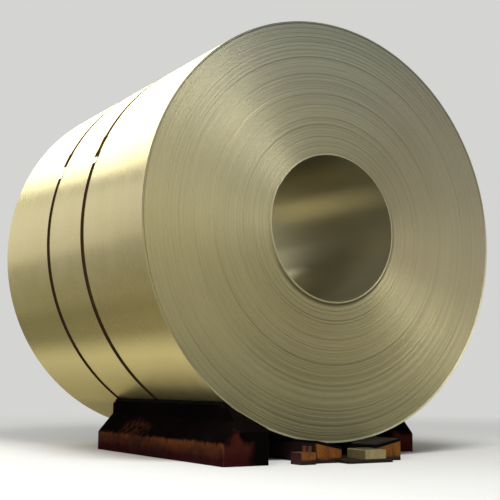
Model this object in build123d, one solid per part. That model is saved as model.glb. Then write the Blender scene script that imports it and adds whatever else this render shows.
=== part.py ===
from build123d import *
import math
import os

# Steel coil on a floor-standing saddle, in millimetres.
# X runs across the coil, Y along its axis and Z up. The floor is z = 0 and the coil's mid-width is y = 0.
# The front is the end at the lowest y.

# Coil
coil_outer_d = 1740.0
coil_bore_d = 610.0
strip_width = 1530.0
coil_clearance = 63.0  # under the coil
inner_wrap = 6.0  # thickness of the innermost turns that stand out of the front end
inner_shift = 6.0  # how far they stand out
turn_groups = 6  # groups of turns that lie a little askew of each other
group_shift = 2.4  # largest shift of a group along the axis
group_spread = 0.55  # how uneven the groups' thicknesses are, from 0 to 1

# Straps and their crimped seals
strap_width = 32.0
strap_thickness = 0.8
strap_offset = 196.0  # from mid-width to a strap's middle
strap_gap = 0.2  # between the coil and the strap
seal_length = 58.0
seal_thickness = 1.6
seal_lip = 3.2  # how far a seal reaches past the strap's edge
seal_clearance = 0.2
seal_angle = 110.5  # from the bottom of the coil, towards the left beam
crimp_count = 2
crimp_depth = 2.2
crimp_radius = 4.0

# Rest: what the pads leave free round the coil, which is the straps' room
rest_gap = 0.2

# Side beams
beam_length = 1125.0
beam_side_reach = 100.0  # from the contact line out to the side plate
beam_side_height = 80.0
shoulder_reach = 30.0  # from the contact line out to the shoulder
shoulder_drop = 58.0  # below the top plate's outer edge
beam_plate = 10.0
beam_ribs = 5
side_bend = 12.0  # outer radius of the fold above the side plate
shoulder_bend = 8.0  # outer radius of the two folds at the shoulder
contact_angle = 35.0
pad_rise = 16.0  # pad beyond the contact line, upwards
pad_fall = 125.0  # pad beyond the contact line, downwards
pad_thickness = 18.0
pad_inset = 4.0  # from the beam's end to the pad's
pad_rounding = 4.0  # of a pad's upper long edges
left_beam_front = -150.0  # from the coil's front end
right_beam_front = 219.0  # from the coil's front end

# Centre saddle
centre_half_width = 203.0
centre_overhang = 165.0  # beyond each end of the coil
centre_angle = 12.0
centre_pad_thickness = 12.0
centre_plate = 10.0
centre_slot = 88.0  # half the channel between the two V flanks
centre_ribs = 6  # wedge ribs along each flank, with the end plates
foot_cut_width = 26.0
foot_cut_height = 22.0
base_thickness = 12.0
tongue_half_width = 105.0
tongue_reach = 70.0  # base plate in front of the V

# Stop bracket beside the centre saddle's front end
stop_width = 66.0
stop_height = 44.0
stop_depth = 68.0
stop_gap = 30.0
stop_reach = 35.0  # in front of the V's end plate
stop_wall = 6.0
flange_thickness = 8.0
stud_radius = 8.0
stud_height = 22.0

# Packing block on the tongue
block_width = 101.0
block_length = 118.0
block_height = 38.0
block_x = 27.0
block_setback = 4.0  # behind the tongue's front edge
block_chamfer = 3.0

coil_r = coil_outer_d / 2
coil_axis_z = coil_clearance + coil_r
bore_r = coil_bore_d / 2
strap_inner_r = coil_r + strap_gap
strap_outer_r = strap_inner_r + strap_thickness
rest_r = strap_outer_r + rest_gap
front_y = -strip_width / 2


def turn_profile():
    """Radii of the turn groups, from the bore outwards, and each group's shift along the axis."""
    weights = [1 + group_spread * math.sin(2.4 * i + 0.7) for i in range(turn_groups)]
    wall = coil_r - bore_r - inner_wrap
    radii = [bore_r, bore_r + inner_wrap]
    shifts = [-inner_shift]
    for i, weight in enumerate(weights):
        radii.append(radii[-1] + wall * weight / sum(weights))
        shifts.append(group_shift * math.cos(3.9 * i + 0.4) * (1 - i / turn_groups / 2))
    return radii, shifts


def make_coil():
    radii, shifts = turn_profile()
    near = []
    far = []
    for inner, outer, shift in zip(radii[:-1], radii[1:], shifts):
        near += [(inner, -strip_width / 2 + shift), (outer, -strip_width / 2 + shift)]
        far += [(inner, strip_width / 2 + shift), (outer, strip_width / 2 + shift)]
    outline = Polyline(*near, *reversed(far), close=True)
    section = make_face(outline)
    wound = revolve(section, Axis.Y, 360)
    return Pos(0, 0, coil_axis_z) * wound


def ring(outer_r, inner_r, width):
    """Ring about the Y axis, centred on the origin."""
    band = Circle(outer_r) - Circle(inner_r)
    return Rot(90, 0, 0) * extrude(band, width / 2, both=True)


def make_strap(y):
    return Pos(0, y, coil_axis_z) * ring(strap_outer_r, strap_inner_r, strap_width)


def make_seal(y):
    """Crimped sleeve that wraps the strap, at the strap's middle line y."""
    width = strap_width + 2 * seal_lip
    sleeve = ring(strap_outer_r + seal_thickness, strap_inner_r, width)
    room = ring(strap_outer_r + seal_clearance, strap_inner_r - 1, strap_width + 2 * seal_clearance)
    sleeve -= room
    sector = Box(seal_length, width, 4 * seal_lip + seal_thickness)
    seal = sleeve & (Pos(0, 0, -strap_outer_r) * sector)
    notch = Cylinder(crimp_radius, 8 * seal_thickness)
    pitch = seal_length / (crimp_count + 1)
    for i in range(crimp_count):
        x = (i - (crimp_count - 1) / 2) * pitch
        for side in (-1, 1):
            notch_y = side * (width / 2 + crimp_radius - crimp_depth)
            seal -= Pos(x, notch_y, -strap_outer_r) * notch
    return Pos(0, y, coil_axis_z) * (Rot(0, seal_angle, 0) * seal)


def tangent_point(angle, along, depth):
    """Point on the pads' resting plane at an angle from the coil's bottom, moved up the slope and into the pad."""
    a = math.radians(angle)
    x = rest_r * math.sin(a) + along * math.cos(a) + depth * math.sin(a)
    z = coil_axis_z - rest_r * math.cos(a) + along * math.sin(a) - depth * math.cos(a)
    return x, z


def plane_z(angle, x, depth):
    """Height at x of a plane that lies depth under the pads' resting plane."""
    x0, z0 = tangent_point(angle, 0, depth)
    return z0 + (x - x0) * math.tan(math.radians(angle))


def bar(points, y0, y1, rounding=0.0):
    """Prism with its section given as (x, z) points, from y0 to y1. A rounding takes the first two corners off."""
    face = make_face(Polyline(*[(x, z) for x, z in points], close=True))
    if rounding:
        for x, z in points[:2]:
            corner = face.vertices().sort_by_distance((x, z, 0))[0]
            face = fillet(corner, rounding)
    return Pos(0, y1, 0) * (Rot(90, 0, 0) * extrude(face, y1 - y0))


def make_beam(front):
    """Right-hand beam: a closed plate weldment with inner ribs and end plates."""
    contact_x = tangent_point(contact_angle, 0, 0)[0]
    side_x = contact_x + beam_side_reach
    shoulder_x = contact_x + shoulder_reach
    shoulder_z = plane_z(contact_angle, shoulder_x, pad_thickness)
    web_x, web_z = tangent_point(contact_angle, -pad_fall, pad_thickness)
    skin = [(side_x, 0), (side_x, beam_side_height), (shoulder_x, shoulder_z - shoulder_drop)]
    skin += [(shoulder_x, shoulder_z), (web_x, web_z), (web_x, 0)]
    outer = make_face(Polyline(*skin, close=True))
    core = offset(outer, -beam_plate, kind=Kind.INTERSECTION)
    for (x, z), radius in zip(skin[1:4], (side_bend, shoulder_bend, shoulder_bend)):
        corner = outer.vertices().sort_by_distance((x, z, 0))[0]
        outer = fillet(corner, radius)
    shell = extrude(outer, beam_length)
    pitch = (beam_length - beam_plate) / (beam_ribs + 1)
    for i in range(beam_ribs + 1):
        bay = extrude(core, pitch - beam_plate)
        shell -= Pos(0, 0, beam_plate + i * pitch) * bay
    return Pos(0, front + beam_length, 0) * (Rot(90, 0, 0) * shell)


def make_pad(front):
    """Right-hand rubber pad on a beam."""
    corners = [(pad_rise, 0), (-pad_fall, 0), (-pad_fall, pad_thickness), (pad_rise, pad_thickness)]
    points = [tangent_point(contact_angle, along, depth) for along, depth in corners]
    return bar(points, front + pad_inset, front + beam_length - pad_inset, pad_rounding)


def flank_points(depth):
    """Inner and outer end of a line under the centre saddle's right flank."""
    inner = (centre_slot, plane_z(centre_angle, centre_slot, depth))
    outer = (centre_half_width, plane_z(centre_angle, centre_half_width, depth))
    return inner, outer


def make_centre():
    """Low V-shaped saddle: base plate, two sloped flanks, side plates and patterned wedge ribs."""
    half = strip_width / 2 + centre_overhang
    base = Pos(0, 0, base_thickness / 2) * Box(2 * centre_half_width, 2 * half, base_thickness)
    tongue_length = 2 * (half + tongue_reach)
    base += Pos(0, 0, base_thickness / 2) * Box(2 * tongue_half_width, tongue_length, base_thickness)
    (x0, z0), (x1, z1) = flank_points(centre_pad_thickness)
    (_, w0), (_, w1) = flank_points(centre_pad_thickness + centre_plate)
    flank = bar([(x0, z0), (x1, z1), (x1, w1), (x0, w0)], -half, half)
    side_x = x1 - centre_plate
    side_z = plane_z(centre_angle, side_x, centre_pad_thickness + centre_plate)
    side = bar([(side_x, base_thickness), (x1, base_thickness), (x1, w1), (side_x, side_z)], -half, half)
    cut_x = x0 + foot_cut_width
    wedge = [(cut_x, base_thickness), (x1, base_thickness), (x1, z1), (x0, z0)]
    wedge += [(x0, base_thickness + foot_cut_height / 2), (cut_x, base_thickness + 2)]
    right = flank + side
    pitch = (2 * half - centre_plate) / (centre_ribs - 1)
    for i in range(centre_ribs):
        y = -half + i * pitch
        right += bar(wedge, y, y + centre_plate)
    return base + right + mirror(right, about=Plane.YZ)


def make_centre_pad():
    """Right-hand lining of the centre saddle."""
    half = strip_width / 2 + centre_overhang
    (x0, z0), (x1, z1) = flank_points(0)
    (_, w0), (_, w1) = flank_points(centre_pad_thickness)
    points = [(x0, z0), (x1, z1), (x1, w1), (x0, w0)]
    return bar(points, -half + pad_inset, half - pad_inset, pad_rounding)


def make_stop():
    """Box stop with two studs on a flange that butts against the centre saddle's left side."""
    y0 = front_y - centre_overhang - stop_reach
    x1 = -centre_half_width - stop_gap
    x0 = x1 - stop_width
    middle = Pos((x0 + x1) / 2, y0 + stop_depth / 2, stop_height / 2)
    stop = middle * Box(stop_width, stop_depth, stop_height)
    stop -= middle * Pos(0, stop_wall, -stop_wall) * Box(stop_width - 2 * stop_wall, stop_depth, stop_height)
    link_depth = stop_depth - stop_reach
    link_y = y0 + stop_reach + link_depth / 2
    link = Box(stop_gap + stop_wall, link_depth, flange_thickness)
    stop += Pos(-centre_half_width - (stop_gap + stop_wall) / 2, link_y, flange_thickness / 2) * link
    for side in (-1, 1):
        y = y0 + stop_depth / 2 + side * stop_depth / 4
        stud = Pos((x0 + x1) / 2 + stop_width / 4, y, stop_height + stud_height / 2) * Cylinder(stud_radius, stud_height)
        stop += stud
    return stop


def make_block():
    y0 = front_y - centre_overhang - tongue_reach + block_setback
    block = Box(block_width, block_length, block_height)
    block = chamfer(block.edges(), block_chamfer)
    return Pos(block_x, y0 + block_length / 2, base_thickness + block_height / 2) * block


parts = {
    "coil": make_coil(),
    "strap_front": make_strap(-strap_offset),
    "strap_rear": make_strap(strap_offset),
    "seal_front": make_seal(-strap_offset),
    "seal_rear": make_seal(strap_offset),
    "beam_left": mirror(make_beam(front_y + left_beam_front), about=Plane.YZ),
    "beam_right": make_beam(front_y + right_beam_front),
    "pad_left": mirror(make_pad(front_y + left_beam_front), about=Plane.YZ),
    "pad_right": make_pad(front_y + right_beam_front),
    "centre_saddle": make_centre(),
    "centre_pad_left": mirror(make_centre_pad(), about=Plane.YZ),
    "centre_pad_right": make_centre_pad(),
    "stop_bracket": make_stop(),
    "block": make_block(),
}

os.makedirs("parts", exist_ok=True)
for name, shape in parts.items():
    export_step(shape, f"parts/{name}.step")
    box = shape.bounding_box()
    print(f"{name:18} volume {shape.volume / 1e6:10.3f} dm3  z {box.min.Z:8.2f} to {box.max.Z:8.2f}")
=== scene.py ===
import math
import bmesh
import bpy
import numpy as np
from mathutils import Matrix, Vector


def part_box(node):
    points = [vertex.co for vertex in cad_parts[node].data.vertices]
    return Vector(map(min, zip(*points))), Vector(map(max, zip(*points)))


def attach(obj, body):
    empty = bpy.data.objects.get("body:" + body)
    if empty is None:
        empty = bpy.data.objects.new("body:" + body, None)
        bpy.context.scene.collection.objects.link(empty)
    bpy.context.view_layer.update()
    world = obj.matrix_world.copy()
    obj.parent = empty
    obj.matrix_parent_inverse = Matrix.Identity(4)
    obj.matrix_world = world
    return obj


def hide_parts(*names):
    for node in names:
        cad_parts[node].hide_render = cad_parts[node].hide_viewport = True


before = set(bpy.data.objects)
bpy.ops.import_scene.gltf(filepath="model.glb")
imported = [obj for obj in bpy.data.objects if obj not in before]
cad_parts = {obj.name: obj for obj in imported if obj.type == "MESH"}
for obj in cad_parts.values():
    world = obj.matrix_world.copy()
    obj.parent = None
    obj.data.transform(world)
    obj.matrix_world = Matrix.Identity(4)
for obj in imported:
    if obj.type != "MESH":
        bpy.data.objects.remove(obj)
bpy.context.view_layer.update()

print("frame loaded,", len(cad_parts), "nodes")

# sizes that several pieces share, in metres: the wound coil and where its axis lies
coilSize = {
    "outerRadius": 0.86985,
    "boreRadius": 0.305,
    "width": 1.530,
    "axisHeight": 0.933,
}
weldDistance = 0.00001  # points closer than this become one


def gridFaces(rows, columns, closeRows=True, closeColumns=True):
    # quads of a grid: cell (i, j) joins rows i and i+1 and columns j and j+1; a closed direction wraps round
    rowCells = np.arange(rows if closeRows else rows - 1)
    columnCells = np.arange(columns if closeColumns else columns - 1)
    i, j = np.meshgrid(rowCells, columnCells, indexing="ij")
    nextRow, nextColumn = (i + 1) % rows, (j + 1) % columns
    quads = [i * columns + j, i * columns + nextColumn, nextRow * columns + nextColumn, nextRow * columns + j]
    return np.stack(quads, -1).reshape(-1, 4)


def facesOutwards(points, quads):
    # volume under the quads, as the sum of origin-to-face tetrahedra; below zero they look inwards
    a, b, c, d = (points[quads[:, k]] for k in range(4))
    volume = np.einsum("ij,ij->i", a, np.cross(b, c)).sum() + np.einsum("ij,ij->i", a, np.cross(c, d)).sum()
    return quads if volume > 0 else quads[:, ::-1]


def aroundAxis(radius, degrees, along):
    # x = radius sin(angle), y = along, z = axis height + radius cos(angle); angles go from the top towards +X
    angle = np.radians(degrees)[None, :]
    return np.stack([radius * np.sin(angle), along, coilSize["axisHeight"] + radius * np.cos(angle)], -1)


def weldPoles(mesh):
    # rows that are drawn in to one point become one vertex, and their flat faces go
    form = bmesh.new()
    form.from_mesh(mesh)
    bmesh.ops.remove_doubles(form, verts=form.verts, dist=weldDistance)
    form.to_mesh(mesh)
    form.free()


def surfacePiece(name, points, quads, materials, sharpDegrees, faceSlots=None, values=None, weld=False):
    # mesh from whole arrays: faceSlots is each face's material, and values are numbers that the points carry
    mesh = bpy.data.meshes.new(name)
    mesh.vertices.add(len(points))
    mesh.vertices.foreach_set("co", np.ascontiguousarray(points, dtype=np.float32).ravel())
    mesh.loops.add(quads.size)
    mesh.loops.foreach_set("vertex_index", np.ascontiguousarray(quads, dtype=np.int32).ravel())
    mesh.polygons.add(len(quads))
    mesh.polygons.foreach_set("loop_start", np.arange(0, quads.size, 4, dtype=np.int32))
    mesh.polygons.foreach_set("loop_total", np.full(len(quads), 4, dtype=np.int32))
    for material in materials:
        mesh.materials.append(material)
    if faceSlots is not None:
        mesh.polygons.foreach_set("material_index", np.asarray(faceSlots, dtype=np.int32))
    mesh.update(calc_edges=True)
    if weld:
        weldPoles(mesh)
    mesh.polygons.foreach_set("use_smooth", np.ones(len(mesh.polygons), dtype=bool))
    mesh.set_sharp_from_angle(angle=math.radians(sharpDegrees))
    for key, numbers in (values or {}).items():
        attribute = mesh.attributes.new(key, "FLOAT", "POINT")
        attribute.data.foreach_set("value", np.asarray(numbers, dtype=np.float32))
    mesh.validate()
    piece = bpy.data.objects.new(name, mesh)
    bpy.context.scene.collection.objects.link(piece)
    return piece


def standFor(piece, node):
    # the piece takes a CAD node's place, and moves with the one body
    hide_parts(node)
    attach(piece, "root")
    print(piece.name, "stands for", node, "with", len(piece.data.polygons), "faces")


def dress(material, *nodes):
    for node in nodes:
        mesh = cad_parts[node].data
        mesh.materials.clear()
        mesh.materials.append(material)
    print(material.name, "on", *nodes)


def fill(node, **inputs):
    # sets or links a node's sockets: a name is written without its spaces, and input0 is the first socket
    names = [socket.name.replace(" ", "") for socket in node.inputs]
    for key, value in inputs.items():
        socket = node.inputs[int(key[5:]) if key.startswith("input") else names.index(key)]
        if isinstance(value, bpy.types.NodeSocket):
            node.id_data.links.new(value, socket)
        else:
            socket.default_value = value
    return node


def addNode(kind, settings=None, tree=None, **inputs):
    # one shader node, in the given tree or else in that of the sockets that feed it
    if tree is None:
        tree = next(value.id_data for value in inputs.values() if isinstance(value, bpy.types.NodeSocket))
    node = tree.nodes.new(kind)
    for key, value in (settings or {}).items():
        setattr(node, key, value)
    return fill(node, **inputs)


def maths(operation, *terms):
    numbered = {f"input{k}": term for k, term in enumerate(terms)}
    return addNode("ShaderNodeMath", {"operation": operation}, **numbered).outputs[0]


def times(product, *factors):
    for factor in factors:
        product = maths("MULTIPLY", product, factor)
    return product


def plus(first, second):
    return maths("ADD", first, second)


def minus(first, second):
    return maths("SUBTRACT", first, second)


def swayed(value, cloud, amount):
    # value + amount * (cloud - 0.5), so that a straight border wanders with a noise
    return plus(value, times(minus(cloud, 0.5), amount))


def remap(value, fromLow, fromHigh, toLow=0.0, toHigh=1.0, smooth=False):
    # ramp from toLow, where value is fromLow, to toHigh, where it is fromHigh, and level beyond both
    kind = {"interpolation_type": "SMOOTHSTEP" if smooth else "LINEAR"}
    made = addNode("ShaderNodeMapRange", kind, input0=value, input1=fromLow, input2=fromHigh, input3=toLow,
                   input4=toHigh)
    return made.outputs[0]


def mixColour(share, first, second, blendType="MIX"):
    kind = {"data_type": "RGBA", "blend_type": blendType}
    return addNode("ShaderNodeMix", kind, input0=share, input6=first, input7=second).outputs[2]


def noise(vector, scale, detail=3.0, roughness=0.55):
    made = addNode("ShaderNodeTexNoise", Vector=vector, Scale=scale, Detail=detail, Roughness=roughness)
    return made.outputs[0]


def noiseAlong(value, scale, detail, roughness):
    # noise that changes with one value only
    kind = {"noise_dimensions": "1D"}
    made = addNode("ShaderNodeTexNoise", kind, W=value, Scale=scale, Detail=detail, Roughness=roughness)
    return made.outputs[0]


def stretched(vector, scale, location=(0, 0, 0)):
    return addNode("ShaderNodeMapping", Vector=vector, Scale=scale, Location=location).outputs[0]


def xyzOf(vector):
    return tuple(addNode("ShaderNodeSeparateXYZ", Vector=vector).outputs)


def joined(x, y):
    return addNode("ShaderNodeCombineXYZ", X=x, Y=y).outputs[0]


def lengthOf(vector):
    return addNode("ShaderNodeVectorMath", {"operation": "LENGTH"}, input0=vector).outputs["Value"]


def faceNormal(tree):
    return addNode("ShaderNodeNewGeometry", tree=tree).outputs["Normal"]


def bump(height, strength, distance):
    return addNode("ShaderNodeBump", Height=height, Strength=strength, Distance=distance).outputs[0]


def newGroup(name, results, **numbers):
    # node group with a place and named numbers as its inputs; gives the group, its inputs and its output node
    group = bpy.data.node_groups.new(name, "ShaderNodeTree")
    group.interface.new_socket(name="place", in_out="INPUT", socket_type="NodeSocketVector")
    for key, value in numbers.items():
        socket = group.interface.new_socket(name=key, in_out="INPUT", socket_type="NodeSocketFloat")
        socket.default_value = value
    for key in results:
        group.interface.new_socket(name=key, in_out="OUTPUT", socket_type="NodeSocketFloat")
    return group, group.nodes.new("NodeGroupInput").outputs, group.nodes.new("NodeGroupOutput")


def useGroup(group, place, **numbers):
    return addNode("ShaderNodeGroup", {"node_tree": group}, place=place, **numbers).outputs


def newMaterial(name):
    material = bpy.data.materials.new(name)
    material.use_nodes = True
    tree = material.node_tree
    tree.nodes.clear()
    shader = addNode("ShaderNodeBsdfPrincipled", tree=tree)
    addNode("ShaderNodeOutputMaterial", Surface=shader.outputs[0])
    place = addNode("ShaderNodeTexCoord", tree=tree).outputs["Object"]
    return material, shader, place


# place on the coil: arc length round the shell from the top towards +X, and length along the axis
coilPlaceGroup, given, result = newGroup("coilPlace", ["arc", "along"])
x, y, z = xyzOf(given["place"])
angle = maths("ARCTAN2", x, minus(z, coilSize["axisHeight"]))
fill(result, arc=times(angle, coilSize["outerRadius"]), along=y)

# rolling grain: fine streaks and broad bands that run round the coil and change across the strip's width
rollGrainGroup, given, result = newGroup("rollGrain", ["streak", "band"], fine=260.0, coarse=14.0)
arc, along = useGroup(coilPlaceGroup, given["place"])
slowArc = times(arc, 0.9)
fineAt = joined(times(slowArc, 4.0), times(along, given["fine"]))
coarseAt = joined(slowArc, times(along, given["coarse"]))
fill(result, streak=noise(fineAt, 1.0, 2.0, 0.6), band=noise(coarseAt, 1.0, 3.0, 0.5))

# grime: a cloudy mask from two sizes of noise, thicker where amount is higher
grimeGroup, given, result = newGroup("grimeClouds", ["mask"], scale=4.0, amount=0.5, softness=0.18)
big = noise(given["place"], given["scale"], 6.0, 0.62)
small = noise(given["place"], times(given["scale"], 7.0), 5.0, 0.6)
cloud = plus(times(big, 0.68), times(small, 0.32))
level = minus(1.0, given["amount"])
mask = remap(cloud, minus(level, given["softness"]), plus(level, given["softness"]), smooth=True)
fill(result, mask=mask)

# worn edges: where a bevelled normal leaves the true one, broken up by noise
edgeWearGroup, given, result = newGroup("edgeWear", ["mask"], reach=0.004, scale=60.0, amount=0.5)
rounded = addNode("ShaderNodeBevel", {"samples": 4}, Radius=given["reach"]).outputs[0]
flat = faceNormal(edgeWearGroup)
cosine = addNode("ShaderNodeVectorMath", {"operation": "DOT_PRODUCT"}, input0=rounded, input1=flat)
edge = remap(cosine.outputs["Value"], 1.0, 0.86)
broken = noise(given["place"], given["scale"], 4.0, 0.65)
need = minus(1.0, given["amount"])
worn = times(edge, remap(broken, times(need, 0.8), plus(need, 0.1)))
fill(result, mask=maths("MINIMUM", worn, 1.0))

# dust that settles on faces that look up
dustGroup, given, result = newGroup("settledDust", ["mask"], amount=0.5)
settle = remap(xyzOf(faceNormal(dustGroup))[2], 0.25, 0.95, smooth=True)
cloud = remap(noise(given["place"], 9.0, 5.0, 0.6), 0.35, 0.7)
fill(result, mask=times(settle, cloud, given["amount"]))
print("shared effects made")


coilWinding = {
    "turns": 188,  # turns of strip between the bore and the shell
    "columns": 168,  # steps round the coil
    "proudTurns": 2,  # innermost turns that stand out of the front end
    "proudShift": 0.006,
    "rimTurns": 2,  # outermost turns that stand out of both ends
    "rimShift": 0.0022,
    "rimGap": 3,  # the turn this far inside the rim sits back, behind a thin dark line
    "rimSunk": 0.0022,
    "groups": 6,  # groups of turns that lie askew, as in the solid
    "groupShift": 0.0016,
    "groupSpread": 0.55,
    "fineRelief": 0.00050,  # how far turns stray along the axis, over a turn or two
    "broadRelief": 0.00036,  # and over some ten turns
    "wobble": 0.00008,  # how far a turn leans out to one side and in at the other
    "wobbleSpan": 6.28,  # radians over which the turns' wobbles point
    "randomSeed": 11,
    # of the relief round the coil: its mean, its share upwards and to the right, and two shares twice round
    "evenness": (0.725, -0.34, 0.08, 0.47, 0.33),
    "sunkRadii": (0.340, 0.381, 0.396, 0.428, 0.457, 0.500, 0.560, 0.594, 0.648, 0.745, 0.780, 0.801, 0.820,
                  0.841),
    "sunkShift": 0.0015,  # how far the single turns at these radii lie behind their neighbours
    "lean": 0.4,  # share of the way to its neighbours that a turn's edge leans
    "leanLimit": 0.0006,  # longest such way that counts
    "leanStep": 0.0016,  # an edge doesn't lean where its neighbours are further apart than this
    "grooveDepth": 0.0006,
    "grooveShare": 0.13,  # share of a turn that its rounded edge takes, each side
    "lipDrop": 0.0005,  # from the innermost turn's edge back to the bore's lip
    "cutAt": -0.196,  # the two halves of the mesh meet under the front strap
    "tailDegrees": 138.0,  # outer end of the strip, from the top towards +X
    "tailStep": 0.0022,
    "startDegrees": 300.0,  # inner end of the strip, in the bore
    "startStep": 0.0022,
    "stepRamp": 34.0,  # degrees over which the turn beside such an end comes back
    "stepTurns": 8,  # turns over which the step dies out on the coil's ends
}
turnPitch = (coilSize["outerRadius"] - coilSize["boreRadius"]) / coilWinding["turns"]

coilFinish = {
    "shellColour": (0.61, 0.54, 0.37, 1),
    "shellTint": (0.53, 0.465, 0.305, 1),
    "shellReflectionLow": (0.30, 0.245, 0.112, 1),  # underside: painted reflection, darker and warmer
    "shellReflectionBand": (0.205, 0.162, 0.070, 1),  # painted reflection: a dark band
    "shellReflectionFoot": (0.66, 0.555, 0.265, 1),  # lowest part: painted reflection, a light band
    "shellShadeUnder": (0.045, 0.038, 0.024, 1),  # below the pads: painted shade
    "lowHeights": (1.12, 0.62),  # heights between which each of these comes in
    "bandHeights": (0.66, 0.57),
    "footHeights": (0.51, 0.39),
    "shadeUnderHeights": (0.225, 0.190),
    "dullHeights": (0.50, 0.34),
    "shellRoughness": 0.26,
    "shellAnisotropy": 0.50,
    "shellGrazing": (0.97, 0.93, 0.64, 1),
    "endColour": (0.360, 0.332, 0.214, 1),
    "endDark": (0.318, 0.293, 0.186, 1),
    "endLine": (0.232, 0.210, 0.126, 1),
    "endRim": (0.80, 0.80, 0.66, 1),  # outermost turns, at the bottom: a painted highlight
    "endRimShadow": (0.045, 0.042, 0.032, 1),  # and at the upper left: a painted dark line of shade
    "endStain": (0.30, 0.27, 0.20, 1),
    "endSpeck": (0.13, 0.11, 0.06, 1),
    "endLip": (0.46, 0.43, 0.30, 1),
    "endLipShadow": (0.075, 0.066, 0.040, 1),
    "endLitHigh": (0.90, 0.95, 1.0, 1),  # painted light tints, high and low on the end
    "endLitLow": (0.94, 0.895, 0.69, 1),
    "endFootShade": (0.78, 0.80, 0.87, 1),  # painted shade towards the floor
    "endTopShade": (0.85, 0.89, 0.98, 1),
    "endUpperLeftShade": (0.83, 0.82, 0.84, 1),
    "endRightShade": (0.93, 0.87, 0.85, 1),
    "endMetal": 0.70,
    "endRoughness": 0.54,
    "endAnisotropy": 0.72,
    "boreColour": (0.27, 0.246, 0.148, 1),
    "boreCloud": (0.225, 0.200, 0.116, 1),
    "boreLitDeep": (0.56, 0.50, 0.28, 1),
    "boreDepths": (-0.35, 0.65),
    "boreMetal": 0.76,
    "boreRoughness": 0.28,
    "boreAnisotropy": 0.50,
}


def brushAround(shader, strength):
    # draws the highlights out, as rolling round the coil does
    kind = {"direction_type": "RADIAL", "axis": "Y"}
    tangent = addNode("ShaderNodeTangent", kind, tree=shader.id_data).outputs[0]
    fill(shader, Anisotropic=strength, AnisotropicRotation=0.25, Tangent=tangent)


shellSteel, shader, place = newMaterial("rolledShellSteel")
x, y, z = xyzOf(place)
streak, band = useGroup(rollGrainGroup, place, fine=420.0, coarse=11.0)
blotch = useGroup(grimeGroup, stretched(place, (1, 0.5, 1)), scale=1.7, amount=0.42, softness=0.25)[0]
tone = plus(times(streak, 0.45), times(band, 0.55))
colour = mixColour(remap(tone, 0.36, 0.66), coilFinish["shellTint"], coilFinish["shellColour"])
# painted reflection and shade: the shell is darker and warmer low down, with a dark band, a light band under
# it and painted shade below the pads
reflectedLow = remap(plus(z, times(blotch, 0.12)), *coilFinish["lowHeights"], smooth=True)
colour = mixColour(reflectedLow, colour, coilFinish["shellReflectionLow"])
colour = mixColour(remap(z, *coilFinish["bandHeights"], smooth=True), colour, coilFinish["shellReflectionBand"])
colour = mixColour(remap(z, *coilFinish["footHeights"], smooth=True), colour, coilFinish["shellReflectionFoot"])
# painted shade below the pads: strong on the front half and weak on the far one
under = times(remap(y, 0.25, 0.05, 0.25, 1.0), remap(z, *coilFinish["shadeUnderHeights"], smooth=True))
colour = mixColour(under, colour, coilFinish["shellShadeUnder"])
middling = coilFinish["shellRoughness"]
roughness = plus(remap(band, 0.3, 0.7, middling - 0.02, middling + 0.03), times(blotch, 0.04))
roughness = plus(roughness, remap(z, *coilFinish["dullHeights"], 0.0, 0.09, smooth=True))
fill(shader, BaseColor=colour, Metallic=1.0, Roughness=roughness, SpecularTint=coilFinish["shellGrazing"],
     Normal=bump(band, 0.02, 0.0006))
brushAround(shader, coilFinish["shellAnisotropy"])

edgeSteel, shader, place = newMaterial("woundEdgeSteel")
x, y, z = xyzOf(place)
turn = addNode("ShaderNodeAttribute", {"attribute_name": "turnCount"}, tree=shader.id_data).outputs["Fac"]
turns, proud = coilWinding["turns"], coilWinding["proudTurns"]
fine = noiseAlong(plus(turn, 71.0), 0.55, 2.0, 0.6)
tone = plus(times(noiseAlong(turn, 0.07, 3.0, 0.6), 0.45), times(fine, 0.55))
# painted shade: the rings' tones are strong above and below the bore and weak beside it, as where light from
# above shows the relief
ringShadeContrast = remap(maths("ABSOLUTE", x), 0.20, 0.62, 1.0, 0.30)
tone = plus(times(minus(tone, 0.5), ringShadeContrast), 0.5)
colour = mixColour(remap(tone, 0.30, 0.70), coilFinish["endDark"], coilFinish["endColour"])
# thin dark lines of painted shade, as in the gaps where single turns sit loose
even = remap(noiseAlong(plus(turn, 13.0), 0.85, 0.0, 0.5), 0.27, 0.36)
colour = mixColour(times(minus(1.0, even), ringShadeContrast), colour, coilFinish["endLine"])
# z - x * share rises towards the upper left: low down the rim's turns get a painted highlight, and high up
# the last gets a painted dark line of shade
rimPaintedHighlight = times(remap(turn, turns - 3.4, turns - 2.0), remap(minus(z, times(x, 0.5)), 0.70, 0.25))
colour = mixColour(times(rimPaintedHighlight, 0.85), colour, coilFinish["endRim"])
rimPaintedShadow = times(remap(turn, turns - 1.1, turns - 0.9), remap(minus(z, times(x, 1.3)), 1.85, 2.15))
colour = mixColour(times(rimPaintedShadow, 0.8), colour, coilFinish["endRimShadow"])
# painted shadow in the corner below the proud turns, which are lighter themselves
corner = times(remap(turn, proud - 0.1, proud + 0.1), remap(turn, proud + 5.5, proud + 1.5, smooth=True))
corner = times(corner, remap(minus(z, times(x, 0.4)), 0.98, 0.76, smooth=True))
colour = mixColour(times(corner, 0.80), colour, coilFinish["endLipShadow"])
colour = mixColour(times(remap(turn, proud + 0.1, proud - 0.1), 0.6), colour, coilFinish["endLip"])
stain = useGroup(grimeGroup, stretched(place, (1, 0.2, 1)), scale=2.4, amount=0.46, softness=0.3)[0]
fleck = remap(noise(stretched(place, (90, 4, 90)), 1.0, 4.0, 0.65), 0.35, 0.65)
arc = useGroup(coilPlaceGroup, place)["arc"]
speck = remap(noise(joined(times(turn, 0.6), times(arc, 120.0)), 1.0, 1.0, 0.5), 0.69, 0.75)
colour = mixColour(times(stain, 0.10), colour, coilFinish["endStain"])
colour = mixColour(times(fleck, 0.18), colour, coilFinish["endDark"])
colour = mixColour(times(speck, 0.75), colour, coilFinish["endSpeck"])
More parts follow.
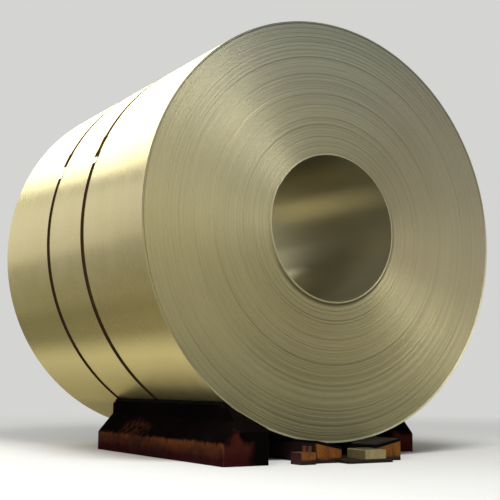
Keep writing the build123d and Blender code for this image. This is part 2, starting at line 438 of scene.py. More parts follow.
# painted light tints the end all over, bluer high up and warmer low down, and painted shade darkens it most
# at the upper left and on the right
lightTint = mixColour(remap(plus(z, times(x, 0.45)), 1.60, 0.50), coilFinish["endLitHigh"], coilFinish["endLitLow"])
colour = mixColour(1.0, colour, lightTint, "MULTIPLY")
eighthTurn = 0.683  # metres of arc
rightArc = 1.10
paintedShades = {
    "endFootShade": remap(z, 0.52, 0.10),
    "endTopShade": remap(z, 1.38, 1.74),
    "endUpperLeftShade": remap(maths("ABSOLUTE", plus(arc, eighthTurn)), 0.75, 0.10, smooth=True),
    "endRightShade": remap(maths("ABSOLUTE", minus(arc, rightArc)), 0.95, 0.40, smooth=True),
}
for key, share in paintedShades.items():
    colour = mixColour(share, colour, coilFinish[key], "MULTIPLY")
middling = coilFinish["endRoughness"]
scratch = noiseAlong(times(turn, 3.0), 1.0, 2.0, 0.6)
fill(shader, BaseColor=colour, Metallic=coilFinish["endMetal"], Normal=bump(scratch, 0.15, 0.0006),
     Roughness=remap(fine, 0.3, 0.7, middling - 0.04, middling + 0.06))
brushAround(shader, coilFinish["endAnisotropy"])

boreSteel, shader, place = newMaterial("boreSteel")
cloud = remap(noise(place, 2.6, 1.0, 0.5), 0.1, 0.9)
colour = mixColour(cloud, coilFinish["boreColour"], coilFinish["boreCloud"])
# painted light: the bore grows lighter deeper in, towards its far opening
deepLight = remap(xyzOf(place)[1], *coilFinish["boreDepths"], smooth=True)
colour = mixColour(deepLight, colour, coilFinish["boreLitDeep"])
fill(shader, BaseColor=colour, Metallic=coilFinish["boreMetal"], Roughness=coilFinish["boreRoughness"])
brushAround(shader, coilFinish["boreAnisotropy"])


def smoothStray(source, count, width):
    # random offsets, smoothed over width turns with a bell-shaped window and brought to unit spread
    window = np.exp(-0.5 * (np.arange(-4 * width, 4 * width + 1) / width) ** 2)
    stray = np.convolve(source.normal(size=count + len(window) - 1), window, "valid")
    return (stray - stray.mean()) / stray.std()


def windTurns():
    # how each turn lies: its group's shift along the axis, a cosine that fades outwards; its own shift, two
    # sizes of smoothed stray; the width and depth of the groove after it; and its wobble's size and direction
    values = coilWinding
    turns = values["turns"]
    index = np.arange(values["groups"])
    weight = 1 + values["groupSpread"] * np.sin(2.4 * index + 0.7)
    share = values["proudTurns"] / turns
    edges = share + (1 - share) * np.cumsum(weight) / weight.sum()
    groupOf = np.searchsorted(edges, (np.arange(turns) + 0.5) / turns)
    groupShift = values["groupShift"] * np.cos(3.9 * groupOf + 0.4) * (1 - groupOf / values["groups"] / 2)
    source = np.random.default_rng(values["randomSeed"])
    shift = values["fineRelief"] * smoothStray(source, turns, 1)
    shift = shift + values["broadRelief"] * smoothStray(source, turns, 4)
    # single turns that sit back from their neighbours show as thin dark rings
    sunkTurns = np.round((np.array(values["sunkRadii"]) - coilSize["boreRadius"]) / turnPitch).astype(int)
    shift[sunkTurns] += values["sunkShift"] * (0.6 + 0.7 * source.random(len(sunkTurns)))
    slow = np.interp(np.arange(turns), np.arange(0, turns + 6, 6), source.random(turns // 6 + 2))
    looseness = 0.55 * slow + 0.45 * source.random(turns)
    gap = values["grooveShare"] * (0.55 + 0.9 * looseness)
    depth = values["grooveDepth"] * (0.5 + 1.2 * looseness)
    wobble = np.stack([source.normal(size=turns), source.random(turns) * values["wobbleSpan"]], 1)
    return groupShift, shift, gap, depth, wobble


def stepBefore(degrees, edge, height, width=coilWinding["stepRamp"]):
    # height right before an edge, falling smoothly to 0 over width degrees back from it
    share = np.clip(1 - (edge - degrees) % 360 / width, 0, 1)
    return height * (share * share * (3 - 2 * share))


def shellDrop(degrees):
    # how far the shell lies inside its full radius: the turn under the strip's outer end, upwards from there
    return stepBefore(degrees, coilWinding["tailDegrees"], coilWinding["tailStep"])


def boreDrop(degrees):
    return stepBefore(degrees, coilWinding["startDegrees"], coilWinding["startStep"])


def coilDegrees():
    # even steps round the coil, with a close pair at each end of the strip so that it shows as a crisp step
    tail, start = coilWinding["tailDegrees"], coilWinding["startDegrees"]
    even = np.linspace(0, 360, coilWinding["columns"] - 4, endpoint=False)
    return np.sort(np.concatenate([even, [tail - 0.02, tail + 0.005, start - 0.06, start + 0.02]]))


def coilHalf(name, end, groupShift, shift, gap, depth, wobble):
    # closed ring of revolution, as radius and length along the axis of each profile row over each column: one
    # end's turns from the bore outwards, the shell to the cut and the bore back; end is -1 in front, 1 behind
    values = coilWinding
    degrees = coilDegrees()
    angle = np.radians(degrees)[None, :]
    turn = np.arange(values["turns"])
    mean, upper, right, upright, slanted = values["evenness"]
    unevenness = (mean + upper * np.cos(angle) + right * np.sin(angle)
                  + upright * np.cos(2 * angle) + slanted * np.sin(2 * angle))
    wobbled = values["wobble"] * wobble[:, :1] * np.cos(angle - wobble[:, 1:])
    face = groupShift[:, None] + shift[:, None] * unevenness + wobbled
    face[:values["proudTurns"]] = -values["proudShift"]
    face[-values["rimTurns"]:] += end * values["rimShift"]
    face[-values["rimGap"]] -= end * values["rimSunk"]
    following = np.vstack([face[1:], face[-1:]])
    before = np.vstack([face[:1], face[:-1]])
    lean = np.clip((following - before) / 2, -values["leanLimit"], values["leanLimit"])
    lean = values["lean"] * (lean * (np.abs(following - before) < values["leanStep"]))
    # the grooves are shallow where the relief is
    groove = depth[:, None] * (0.35 + 0.65 * np.clip(unevenness, 0, 1.6))
    sunk = (np.maximum(face, following) if end < 0 else np.minimum(face, following)) - end * groove
    # three rows a turn: both sides of its edge and the bottom of the groove after it
    counts = np.stack([turn + gap, turn + 1 - gap, turn + 1], 1).reshape(-1)
    heights = np.stack([face - lean, face + lean, sunk], 1).reshape(-1, len(degrees))
    endRadius = coilSize["boreRadius"] + turnPitch * np.repeat(counts[:, None], len(degrees), 1)
    endHeight = end * coilSize["width"] / 2 + heights
    # the outer turns follow the shell's drop and the inner ones the bore's
    reach = values["stepTurns"]
    outerShare = np.clip((counts - (values["turns"] - reach)) / reach, 0, 1)[:, None]
    innerShare = np.clip((reach - counts) / reach, 0, 1)[:, None]
    outerDrop, innerDrop = shellDrop(degrees)[None, :], boreDrop(degrees)[None, :]
    endRadius = endRadius - outerShare * outerDrop + innerShare * innerDrop
    outerLine, boreLine = coilSize["outerRadius"] - outerDrop, coilSize["boreRadius"] + innerDrop
    rim = endHeight[-1:]
    cut = np.full((1, len(degrees)), values["cutAt"])
    lip = endHeight[:1] - end * values["lipDrop"]
    shellHeights = np.vstack([rim + (cut - rim) * share for share in (0.004, 0.33, 0.66)] + [cut])
    boreHeights = np.vstack([cut] + [lip + (cut - lip) * share for share in (0.66, 0.33, 0.004)] + [lip])
    radius = np.vstack([endRadius, np.repeat(outerLine, 4, 0), np.repeat(boreLine, 5, 0)])
    height = np.vstack([endHeight, shellHeights, boreHeights])
    points = aroundAxis(radius, degrees, height).reshape(-1, 3)
    quads = facesOutwards(points, gridFaces(*radius.shape))
    # materials of the rows of faces: 0 is the wound edges, 1 the shell and 2 the bore
    slotOfRow = np.concatenate([np.zeros(len(counts) - 1), np.ones(4), np.full(5, 2), [0]])
    counts = np.concatenate([counts, np.full(4, values["turns"]), np.zeros(5)])
    piece = surfacePiece(name, points, quads, [edgeSteel, shellSteel, boreSteel], 28,
                         np.repeat(slotOfRow, len(degrees)), {"turnCount": np.repeat(counts, len(degrees))})
    standFor(piece, "coil")


winding = windTurns()
coilHalf("coilFront", -1, *winding)
coilHalf("coilRear", 1, *winding)


strapShape = {
    "width": 0.032,
    "thickness": 0.0008,
    "gap": 0.0001,
    "edgeRadius": 0.0003,
    "steps": 288,  # round the coil
    "frontPlace": -0.196,
    "rearPlace": 0.196,
    "sealDegrees": 290.5,  # from the top towards +X, as the solids' seals
    "overlap": 0.105,  # spare end that lies on the strap past its seal
    "spareNarrowing": 0.0006,  # so that it stays inside the seal
    "springFrom": 0.050,  # length of the spare end that lies flat, before it springs up
    "springRun": 0.050,
    "springRise": 0.0016,
    "landing": 3.0,  # degrees in which a strap comes down past the strip's outer end
}
strapFinish = {
    "dark": (0.016, 0.009, 0.0045, 1),
    "brown": (0.038, 0.023, 0.012, 1),
    "rubbed": (0.075, 0.052, 0.028, 1),
    "edge": (0.14, 0.105, 0.06, 1),
}

strapSteel, shader, place = newMaterial("blackenedStrap")
streak = useGroup(rollGrainGroup, place, fine=900.0, coarse=60.0)["streak"]
rubbed = useGroup(grimeGroup, place, scale=5.0, amount=0.40, softness=0.12)[0]
edge = useGroup(edgeWearGroup, place, reach=0.0006, scale=90.0, amount=0.55)[0]
colour = mixColour(remap(streak, 0.3, 0.75), strapFinish["dark"], strapFinish["brown"])
colour = mixColour(times(rubbed, 0.35), colour, strapFinish["rubbed"])
colour = mixColour(times(edge, 0.35), colour, strapFinish["edge"])
fill(shader, BaseColor=colour, SpecularIORLevel=0.0, Roughness=remap(streak, 0.3, 0.7, 0.50, 0.62),
     Normal=bump(streak, 0.2, 0.0002))


def strapSection(width, thickness, radius):
    # rounded rectangle, as offsets along the axis and outwards from the strap's underside
    side, top = width / 2 - radius, thickness - radius
    corners = [(side, top, 0), (-side, top, 90), (-side, radius, 180), (side, radius, 270)]
    turns = np.radians(np.array([0.0, 45.0, 90.0]))
    along = np.concatenate([y + radius * np.cos(np.radians(start) + turns) for y, _, start in corners])
    outward = np.concatenate([r + radius * np.sin(np.radians(start) + turns) for _, r, start in corners])
    return along, outward


def strapLine(degrees):
    # radius under the strap: the shell's, but straight down over a short way past the strip's outer end
    under = coilSize["outerRadius"] - shellDrop(degrees)
    bridge = stepBefore(degrees, coilWinding["tailDegrees"], coilWinding["tailStep"], strapShape["landing"])
    return np.minimum(under + bridge, coilSize["outerRadius"]) + strapShape["gap"]


def strapBand(middle, width, degrees, lift):
    # section carried round the coil: radius = the strap's line + lift + the section's outward offset
    along, outward = strapSection(width, strapShape["thickness"], strapShape["edgeRadius"])
    radius = (strapLine(degrees) + lift)[None, :] + outward[:, None]
    return aroundAxis(radius, degrees, np.repeat(middle + along[:, None], len(degrees), 1))


def strap(name, middle, node):
    # ring with more steps at the seal and at the strip's outer end, where no two of them fall together
    values = strapShape
    even = np.linspace(0, 360, values["steps"], endpoint=False)
    atSeal = values["sealDegrees"] + np.linspace(-3, 3, 7) + 0.013
    atTail = coilWinding["tailDegrees"] + np.linspace(-3, 1, 9) + 0.017
    ring = strapBand(middle, values["width"], np.sort(np.concatenate([even, atSeal, atTail])), 0.0)
    ringPoints = ring.reshape(-1, 3)
    ringQuads = facesOutwards(ringPoints, gridFaces(*ring.shape[:2]))
    # spare end: the same section on top of the strap, from inside the seal to its cut end, which springs up
    length = np.linspace(0, values["overlap"], 22)
    degrees = values["sealDegrees"] + np.degrees(length / coilSize["outerRadius"])
    spring = np.clip((length - values["springFrom"]) / values["springRun"], 0, 1) ** 2
    lift = values["thickness"] + values["springRise"] * spring
    spare = strapBand(middle, values["width"] - values["spareNarrowing"], degrees, lift)
    # both its ends are closed by a row drawn in to the middle of the section
    middles = spare.mean(0, keepdims=True)[:, [0, -1]].repeat(len(spare), 0)
    spare = np.concatenate([middles[:, :1], spare, middles[:, 1:]], 1)
    sparePoints = spare.reshape(-1, 3)
    spareQuads = facesOutwards(sparePoints - sparePoints.mean(0), gridFaces(*spare.shape[:2], True, False))
    points = np.concatenate([ringPoints, sparePoints])
    quads = np.concatenate([ringQuads, spareQuads + len(ringPoints)])
    standFor(surfacePiece(name, points, quads, [strapSteel], 40, weld=True), node)


strap("strapFront", strapShape["frontPlace"], "strap_front")
strap("strapRear", strapShape["rearPlace"], "strap_rear")

sealFinish = {
    "zinc": (0.62, 0.60, 0.52, 1),
    "zincLight": (0.80, 0.78, 0.70, 1),
    "edge": (0.88, 0.86, 0.80, 1),
    "black": (0.030, 0.020, 0.011, 1),
    "sealShadeHeights": (1.234, 1.240),  # painted shade: the upper half of the front seal is as black as its strap, and not metallic
}
zincSteel, shader, place = newMaterial("zincSeal")
x, y, z = xyzOf(place)
spangle = addNode("ShaderNodeTexVoronoi", Vector=place, Scale=260.0).outputs["Color"]
cloud = noise(place, 120.0)
edge = useGroup(edgeWearGroup, place, reach=0.0012, scale=300.0, amount=0.6)[0]
colour = mixColour(remap(cloud, 0.3, 0.7), sealFinish["zinc"], sealFinish["zincLight"])
colour = mixColour(times(edge, 0.5), colour, sealFinish["edge"])
black = times(remap(z, *sealFinish["sealShadeHeights"], smooth=True), remap(y, 0.05, -0.05))
colour = mixColour(black, colour, sealFinish["black"])
fill(shader, BaseColor=colour, Metallic=minus(1.0, black), SpecularIORLevel=0.0,
     Roughness=remap(spangle, 0.2, 0.8, 0.26, 0.42), Normal=bump(cloud, 0.25, 0.0004))
dress(zincSteel, "seal_front", "seal_rear")


beamShape = {
    "restRadius": 0.8712,  # of the circle round the coil's axis that the pads touch
    "contactDegrees": 35.0,  # from the bottom of the coil
    "shoulderReach": 0.030,  # from the contact line out to the shoulder
    "shoulderDrop": 0.058,  # below the top plate's outer edge
    "sideHeight": 0.080,
    "bends": (0, 0.012, 0.008, 0.008, 0, 0),  # outer radii of the folds, from the side plate's foot
    "padThickness": 0.018,
    "padRise": 0.016,  # pad beyond the contact line, upwards
    "padFall": 0.125,  # and downwards
    "padBends": (0.004, 0.004, 0, 0),
    "padSetback": 0.003,  # from the coil's front end back to the pad's
    "bevel": 0.0025,
    "padBevel": 0.001,
    "hipHeight": 0.125,  # top of the front end plate, where the slope up to the beam's top begins
    "hipRun": 0.095,  # length of that slope along the beam
    "spacing": 0.004,
    "stations": 12,  # cross-sections along a beam or pad
}


def padPlane(along, depth):
    # point on the left pad's resting plane, moved up the slope by along and into the pad by depth
    angle = math.radians(beamShape["contactDegrees"])
    x = beamShape["restRadius"] * math.sin(angle) + along * math.cos(angle) + depth * math.sin(angle)
    drop = beamShape["restRadius"] * math.cos(angle) - along * math.sin(angle) + depth * math.cos(angle)
    return -x, coilSize["axisHeight"] - drop


def foldedOutline(corners, radii):
    # closed outline: each corner is an arc that touches both its edges, and straight runs are evenly divided
    corners = np.array(corners, float)
    arcs = []
    for before, here, after, radius in zip(np.roll(corners, 1, 0), corners, np.roll(corners, -1, 0), radii):
        back, ahead = before - here, after - here
        back, ahead = back / np.linalg.norm(back), ahead / np.linalg.norm(ahead)
        half = math.acos(np.clip(back @ ahead, -1, 1)) / 2
        reach = radius / math.tan(half)
        middle = here + (back + ahead) / np.linalg.norm(back + ahead) * radius / math.sin(half)
        first, last = here + back * reach - middle, here + ahead * reach - middle
        start = math.atan2(first[1], first[0])
        sweep = (math.atan2(last[1], last[0]) - start + math.pi) % (2 * math.pi) - math.pi
        angles = start + sweep * np.linspace(0, 1, 6)
        arcs.append(middle + radius * np.stack([np.cos(angles), np.sin(angles)], 1) if radius else here[None])
    parts = []
    for arc, following in zip(arcs, arcs[1:] + arcs[:1]):
        steps = max(1, math.ceil(np.linalg.norm(following[0] - arc[-1]) / beamShape["spacing"]))
        share = np.arange(1, steps)[:, None] / steps
        parts += [arc, arc[-1] + (following[0] - arc[-1]) * share]
    return np.concatenate(parts)


def beamPrism(name, outline, front, rear, bevel, material, hipHeight=None, hipRun=0.0):
    # outline swept along the axis, its ends bevelled and closed on their middles; in front a slope cuts it
    # off from above: height = the lower of the outline's and hipHeight + rise * share of the run
    x, z = outline[:, 0], outline[:, 1]
    between = np.linspace(front + bevel + hipRun, rear - bevel, beamShape["stations"])
    if hipHeight is not None:
        # a station where the slope passes each point of the outline
        levels = np.unique(np.round(z[z > hipHeight], 6))
        slope = front + bevel + hipRun * (levels - hipHeight) / (z.max() - hipHeight)
        between = np.concatenate([slope, between[1:]])
    between = between[between > front + bevel + 1e-6]
    stations = np.concatenate([[front, front, front + bevel], between, [rear, rear]])
    if hipHeight is None:
        limit = np.full(len(stations), z.max())
    else:
        limit = hipHeight + (z.max() - hipHeight) * np.clip((stations - front - bevel) / hipRun, 0, 1)
    sectionX = np.repeat(x[None], len(stations), 0)
    sectionY = np.repeat(stations[:, None], len(x), 1)
    sectionZ = np.minimum(z[None], limit[:, None])
    inwardX = sectionX.mean(1, keepdims=True) - sectionX
    inwardZ = sectionZ.mean(1, keepdims=True) - sectionZ
    share = np.zeros_like(sectionX)
    share[[1, -2]] = bevel / np.hypot(inwardX, inwardZ)[[1, -2]]
    share[[0, -1]] = 1.0
    points = np.stack([sectionX + inwardX * share, sectionY, sectionZ + inwardZ * share], -1).reshape(-1, 3)
    quads = facesOutwards(points, gridFaces(*sectionX.shape, False, True))
    return surfacePiece(name, points, quads, [material], 30, weld=True)


beamFinish = {
    "paint": (0.096, 0.030, 0.0100, 1),
    "paintLow": (0.022, 0.0030, 0.0034, 1),
    "paintRight": (0.060, 0.010, 0.010, 1),  # end plate of the right-hand beam
    "paintHeights": (0.022, 0.066),
    "runs": (0.022, 0.008, 0.0055, 1),
    "stain": (0.014, 0.007, 0.006, 1),
    "grime": (0.0014, 0.0012, 0.0013, 1),
    "blackShadeHeights": (0.073, 0.086),  # over which the black of the slopes begins: painted shade under the coil, with grime
    "blackShadeInner": (0.505, 0.465),  # on an end plate it lies this near the middle of the saddle
    "blackShadeHigh": (0.055, 0.095),  # and this high up elsewhere
    "peakPlace": 0.545,  # but the red reaches up in a peak here
    "peakRise": 0.045,
    "patchScale": (1.0, 0.9, 3.4),  # a patch low on the slope, where the red paint shows through the black
    "patchShift": (0.575, 0.117, -0.357),
    "patchReach": (0.17, 0.05),
    "rubbed": (0.060, 0.016, 0.010, 1),
    "bare": (0.11, 0.06, 0.04, 1),
    "dust": (0.09, 0.07, 0.055, 1),
}
beamPaint, shader, place = newMaterial("grimyBeamPaint")
x, y, z = xyzOf(place)
runs = noise(stretched(place, (26, 26, 2.2)), 1.0, 4.0, 0.6)
fade = remap(swayed(z, runs, 0.06), *beamFinish["paintHeights"])
colour = mixColour(fade, beamFinish["paintLow"], beamFinish["paint"])
colour = mixColour(times(remap(runs, 0.42, 0.62), 0.55), colour, beamFinish["runs"])
stain = useGroup(grimeGroup, place, scale=6.5, amount=0.50, softness=0.10)[0]
colour = mixColour(times(stain, 0.7), colour, beamFinish["stain"])
# painted shade with grime: the slopes and the inner and upper parts of the end plates go black
tide = swayed(z, noise(place, 26.0, 5.0, 0.7), 0.028)
slopeShade = remap(tide, *beamFinish["blackShadeHeights"], smooth=True)
inward = swayed(maths("ABSOLUTE", x), noise(place, 14.0, 4.0, 0.6), 0.10)
fromPeak = maths("ABSOLUTE", plus(x, beamFinish["peakPlace"]))
peak = remap(fromPeak, 0.035, 0.005, 0.0, beamFinish["peakRise"], smooth=True)
hump = minus(times(minus(noise(place, 8.0, 3.0, 0.6), 0.5), 0.18), peak)
endPlateShade = maths("MAXIMUM", remap(inward, *beamFinish["blackShadeInner"], smooth=True),
                 remap(plus(z, hump), *beamFinish["blackShadeHigh"], smooth=True))
# painted shade: the end plates take a darker red than the side plates, the right-hand beam's a less dark one
onEnd = remap(maths("ABSOLUTE", xyzOf(faceNormal(shader.id_data))[1]), 0.5, 0.9)
black = plus(times(slopeShade, minus(1.0, onEnd)), times(endPlateShade, onEnd))
endPaint = mixColour(remap(x, 0.0, 0.1), beamFinish["paintLow"], beamFinish["paintRight"])
colour = mixColour(times(onEnd, 0.75), colour, endPaint)
fromPatch = lengthOf(stretched(place, beamFinish["patchScale"], beamFinish["patchShift"]))
patch = remap(swayed(fromPatch, runs, 0.16), *beamFinish["patchReach"], smooth=True)
patch = times(patch, remap(noise(place, 42.0, 4.0, 0.65), 0.40, 0.62))
colour = mixColour(times(patch, 0.6), colour, beamFinish["rubbed"])
black = times(black, minus(1.0, times(patch, 0.75)))
# the black is painted shade with grime
colour = mixColour(times(black, 0.98), colour, beamFinish["grime"])
edge = useGroup(edgeWearGroup, place, reach=0.004, scale=38.0, amount=0.45)[0]
edgeShare = times(minus(1.0, times(black, 0.85)), 0.55)
colour = mixColour(times(edge, edgeShare), colour, beamFinish["bare"])
colour = mixColour(useGroup(dustGroup, place, amount=0.02)[0], colour, beamFinish["dust"])
height = plus(noise(place, 70.0, 5.0, 0.6), times(black, 0.6))
fill(shader, BaseColor=colour, Roughness=plus(0.60, times(black, 0.25)), SpecularIORLevel=0.0,
     Normal=bump(height, 0.35, 0.0012))
dress(beamPaint, "beam_right")

beamLow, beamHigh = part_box("beam_left")
contactX, _ = padPlane(0, 0)
seatX, seatZ = padPlane(0, beamShape["padThickness"])
shoulderX = contactX - beamShape["shoulderReach"]
shoulderZ = seatZ + (seatX - shoulderX) * math.tan(math.radians(beamShape["contactDegrees"]))
webX, webZ = padPlane(-beamShape["padFall"], beamShape["padThickness"])
corners = [(beamLow[0], 0), (beamLow[0], beamShape["sideHeight"]),
           (shoulderX, shoulderZ - beamShape["shoulderDrop"]), (shoulderX, shoulderZ),
           (webX, webZ), (webX, 0)]
beam = beamPrism("beamLeft", foldedOutline(corners, beamShape["bends"]), beamLow[1], beamHigh[1],
                 beamShape["bevel"], beamPaint, beamShape["hipHeight"], beamShape["hipRun"])
standFor(beam, "beam_left")

saddleFinish = {
    "paint": (0.145, 0.052, 0.0042, 1),
    "paintWorn": (0.105, 0.032, 0.0045, 1),
    "rust": (0.080, 0.023, 0.006, 1),
    "grime": (0.013, 0.0075, 0.0045, 1),
    "footShade": (0.0055, 0.0034, 0.0036, 1),  # painted shade on the base plate
    "footHeights": (0.022, 0.012),
    "underCoilShade": (0.0035, 0.0022, 0.0020, 1),  # painted shade on everything behind the end plates
    "shadeFrom": (0.936, 0.926),  # distance from the middle along the axis
    "shadeWithin": (0.206, 0.205),  # and sideways; the bracket stands outside this
    "bracketSideShade": (0.028, 0.0055, 0.0055, 1),  # its outer side is painted dark red as shade
    "bracketSidePlace": (-0.2955, -0.2985),
    "studDark": (0.030, 0.012, 0.009, 1),
    "studLight": (0.095, 0.032, 0.012, 1),
    "studHeights": (0.0435, 0.045),
    "studPlace": (-0.206, -0.208),
    "bare": (0.13, 0.06, 0.035, 1),
    "dust": (0.16, 0.13, 0.10, 1),
}
saddlePaint, shader, place = newMaterial("wornOrangePaint")
x, y, z = xyzOf(place)
cloud = noise(place, 16.0, 5.0, 0.62)
colour = mixColour(remap(cloud, 0.38, 0.64), saddleFinish["paint"], saddleFinish["paintWorn"])
chip = useGroup(grimeGroup, place, scale=18.0, amount=0.44, softness=0.05)[0]
colour = mixColour(times(chip, 0.85), colour, saddleFinish["rust"])
runs = noise(stretched(place, (60, 60, 5)), 1.0, 4.0, 0.6)
colour = mixColour(times(remap(runs, 0.46, 0.68), 0.55), colour, saddleFinish["grime"])
footShade = remap(swayed(z, cloud, 0.02), *saddleFinish["footHeights"])
colour = mixColour(times(footShade, 0.97), colour, saddleFinish["footShade"])
behind = remap(plus(maths("ABSOLUTE", y), times(cloud, 0.02)), *saddleFinish["shadeFrom"])
underCoilShade = times(behind, remap(maths("ABSOLUTE", x), *saddleFinish["shadeWithin"]))
colour = mixColour(times(underCoilShade, 0.97), colour, saddleFinish["underCoilShade"])
colour = mixColour(remap(x, *saddleFinish["bracketSidePlace"]), colour, saddleFinish["bracketSideShade"])
edge = useGroup(edgeWearGroup, place, reach=0.003, scale=60.0, amount=0.5)[0]
edgeShare = times(minus(1.0, times(maths("MAXIMUM", underCoilShade, footShade), 0.9)), 0.6)
colour = mixColour(times(edge, edgeShare), colour, saddleFinish["bare"])
studs = times(remap(z, *saddleFinish["studHeights"]), remap(x, *saddleFinish["studPlace"]))
studColour = mixColour(remap(cloud, 0.4, 0.6), saddleFinish["studDark"], saddleFinish["studLight"])
colour = mixColour(studs, colour, studColour)
colour = mixColour(useGroup(dustGroup, place, amount=0.06)[0], colour, saddleFinish["dust"])
height = plus(noise(place, 90.0, 5.0, 0.6), times(chip, -0.8))
fill(shader, BaseColor=colour, Roughness=remap(cloud, 0.3, 0.7, 0.50, 0.70), SpecularIORLevel=0.12,
     Normal=bump(height, 0.4, 0.0008))
dress(saddlePaint, "centre_saddle", "stop_bracket")

padFinish = {
    "rubber": (0.0014, 0.0013, 0.0014, 1),
    "rubberWorn": (0.0038, 0.0035, 0.0034, 1),
    "scuff": (0.007, 0.0065, 0.006, 1),
    "dust": (0.042, 0.036, 0.027, 1),
    # dust lies on the linings of the centre saddle, under the coil, and little on the steep side pads
    "dustPlaces": (0.22, 0.26),
    "dustAmounts": (0.62, 0.04),
}
padRubber, shader, place = newMaterial("wornRubber")
cloud = noise(place, 22.0, 5.0, 0.6)
fine = noise(place, 420.0, 3.0, 0.6)
scuff = noise(stretched(place, (3, 70, 3)), 1.0, 3.0, 0.6)
colour = mixColour(remap(cloud, 0.35, 0.68), padFinish["rubber"], padFinish["rubberWorn"])
colour = mixColour(times(remap(scuff, 0.55, 0.75), 0.5), colour, padFinish["scuff"])
amount = remap(maths("ABSOLUTE", xyzOf(place)[0]), *padFinish["dustPlaces"], *padFinish["dustAmounts"])
colour = mixColour(useGroup(dustGroup, place, amount=amount)[0], colour, padFinish["dust"])
fill(shader, BaseColor=colour, Roughness=remap(cloud, 0.3, 0.7, 0.72, 0.9), SpecularIORLevel=0.01,
     Normal=bump(plus(fine, times(cloud, 2.0)), 0.3, 0.0006))
dress(padRubber, "pad_right", "centre_pad_left", "centre_pad_right")

corners = [padPlane(beamShape["padRise"], 0), padPlane(-beamShape["padFall"], 0), (webX, webZ),
           padPlane(beamShape["padRise"], beamShape["padThickness"])]
padFront = -coilSize["width"] / 2 + beamShape["padSetback"]
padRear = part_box("pad_left")[1][1]
pad = beamPrism("padLeft", foldedOutline(corners, beamShape["padBends"]), padFront, padRear,
                beamShape["padBevel"], padRubber)
standFor(pad, "pad_left")

blockFinish = {
    "early": (0.245, 0.200, 0.088, 1),  # early and late wood of a year's ring
    "late": (0.165, 0.124, 0.046, 1),
    "fibre": (0.22, 0.175, 0.10, 1),
    "leftSideShade": (0.058, 0.041, 0.007, 1),
    "top": (0.017, 0.019, 0.007, 1),
    "soil": (0.05, 0.043, 0.026, 1),
    "edge": (0.14, 0.115, 0.07, 1),
    "heart": (-0.012, 0.0, 0.055),  # from the middle of the rings to the origin
    "ringRadians": 1900.0,  # a metre, with a full turn from one year's ring to the next
}
blockWood, shader, place = newMaterial("paleTimber")
x, _, z = xyzOf(stretched(place, (1, 1, 1), blockFinish["heart"]))
wander = noise(stretched(place, (9, 3, 9)), 1.0, 2.0)
fromHeart = maths("SQRT", plus(times(x, x), times(z, z)))
rings = maths("SINE", times(plus(fromHeart, times(wander, 0.012)), blockFinish["ringRadians"]))
fibre = noise(stretched(place, (420, 16, 420)), 1.0, 3.0, 0.6)
colour = mixColour(remap(rings, -0.4, 0.9), blockFinish["early"], blockFinish["late"])
colour = mixColour(times(remap(fibre, 0.35, 0.7), 0.45), colour, blockFinish["fibre"])
facingX, _, facingZ = xyzOf(faceNormal(shader.id_data))
# painted shade: the left side and the top are darker
colour = mixColour(times(remap(facingX, -0.6, -0.9), 0.75), colour, blockFinish["leftSideShade"])
colour = mixColour(times(remap(facingZ, 0.6, 0.9), 0.94), colour, blockFinish["top"])
soil = useGroup(grimeGroup, place, scale=22.0, amount=0.48, softness=0.12)[0]
colour = mixColour(times(soil, 0.35), colour, blockFinish["soil"])
edge = useGroup(edgeWearGroup, place, reach=0.004, scale=90.0, amount=0.5)[0]
colour = mixColour(times(edge, 0.35), colour, blockFinish["edge"])
fill(shader, BaseColor=colour, Roughness=0.78, SpecularIORLevel=0.25,
     Normal=bump(plus(fibre, times(rings, 0.25)), 0.35, 0.0006))
dress(blockWood, "block")


studio = {
    "floorColour": (0.60, 0.60, 0.585, 1),
    "backColour": (0.66, 0.66, 0.645, 1),
    "worldStrength": 0.24,  # soft light from all round
    "fadeFrom": 1.6,  # metres from the middle at which the floor runs out into the background
    "fadeTo": 6.0,
    "floorReach": 60.0,
    # each lamp's place, the point that it looks at, its width and height, and its power
    "keyLight": ((-1.15, -3.7, 5.4), (0, -0.5, 0.9), (2.2, 2.2), 368.0),
    "sideLight": ((-4.8, -3.8, 2.2), (0, -0.3, 0.8), (3.0, 3.0), 165.0),
    "backLight": ((-0.4, 8.6, 7.0), (0, 0, 1.0), (7.0, 5.0), 440.0),
    "lowLight": ((-3.4, 8.2, 2.6), (0, 0, 1.0), (6.0, 2.6), 23.0),
    "nearLight": ((-1.35, -0.1, 2.5), (-0.95, 0.1, 0.0), (1.7, 1.7), 26.0),
}


def seenRays(tree):
    # 1 for rays that show something to the camera, also in a mirror or through glass, and 0 for lighting rays
    rays = addNode("ShaderNodeLightPath", tree=tree).outputs
    shown = maths("MAXIMUM", rays["Is Camera Ray"], rays["Is Glossy Ray"])
    return maths("MAXIMUM", shown, rays["Is Transmission Ray"])


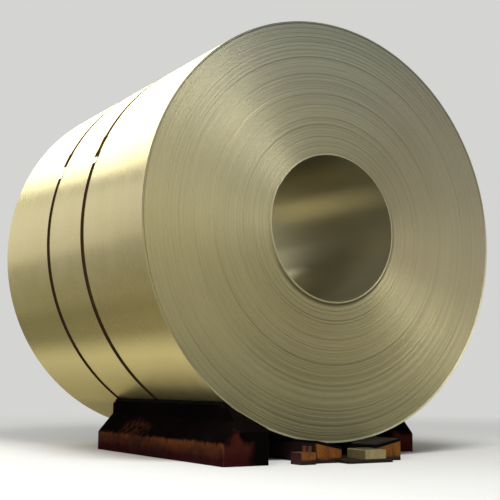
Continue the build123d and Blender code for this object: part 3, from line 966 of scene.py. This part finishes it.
world = bpy.data.worlds.new("studioWorld")
bpy.context.scene.world = world
world.use_nodes = True
tree = world.node_tree
tree.nodes.clear()
lit = addNode("ShaderNodeBackground", tree=tree, Color=(1, 1, 1, 1), Strength=studio["worldStrength"])
shown = addNode("ShaderNodeBackground", tree=tree, Color=studio["backColour"], Strength=1.0)
both = addNode("ShaderNodeMixShader", input0=seenRays(tree), input1=lit.outputs[0], input2=shown.outputs[0])
addNode("ShaderNodeOutputWorld", Surface=both.outputs[0])

floorMaterial, shader, place = newMaterial("paleFloor")
tree = floorMaterial.node_tree
output = shader.outputs[0].links[0].to_node
fill(shader, BaseColor=studio["floorColour"], Roughness=0.9, SpecularIORLevel=0.1)
fade = remap(lengthOf(place), studio["fadeFrom"], studio["fadeTo"], smooth=True)
fade = times(fade, seenRays(tree))
glow = addNode("ShaderNodeEmission", tree=tree, Color=studio["backColour"], Strength=1.0)
both = addNode("ShaderNodeMixShader", input0=fade, input1=shader.outputs[0], input2=glow.outputs[0])
fill(output, Surface=both.outputs[0])
corners = studio["floorReach"] * np.array([(-1, -1, 0), (1, -1, 0), (1, 1, 0), (-1, 1, 0)])
floor = surfacePiece("floor", corners, np.array([[0, 1, 2, 3]]), [floorMaterial], 30)


def softbox(name, place, target, size, power):
    data = bpy.data.lights.new(name, "AREA")
    data.shape = "RECTANGLE"
    data.size, data.size_y = size
    data.energy = power
    lamp = bpy.data.objects.new(name, data)
    bpy.context.scene.collection.objects.link(lamp)
    away = np.array(target, float) - np.array(place, float)
    lamp.location = place
    down = math.atan2(math.hypot(away[0], away[1]), -away[2])
    lamp.rotation_euler = (down, 0, math.atan2(-away[0], away[1]))
    lamp.visible_camera = False


for name in ("keyLight", "sideLight", "backLight", "lowLight", "nearLight"):
    softbox(name, *studio[name])

cameraView = {
    "location": (-2.41041766, -4.01350994, 0.29217686),
    "turn": (97.73605895, -0.37091875, -31.77471631),  # degrees
    "lens": 71.3333,
    "sensorWidth": 36.0,
    "clipEnd": 200.0,
}
cameraData = bpy.data.cameras.new("camera")
cameraData.lens = cameraView["lens"]
cameraData.sensor_width = cameraView["sensorWidth"]
cameraData.clip_end = cameraView["clipEnd"]
camera = bpy.data.objects.new("camera", cameraData)
bpy.context.scene.collection.objects.link(camera)
camera.location = cameraView["location"]
camera.rotation_euler = [math.radians(v) for v in cameraView["turn"]]
bpy.context.scene.camera = camera
bpy.context.scene.view_settings.view_transform = "Standard"
print("floor, light and camera set")
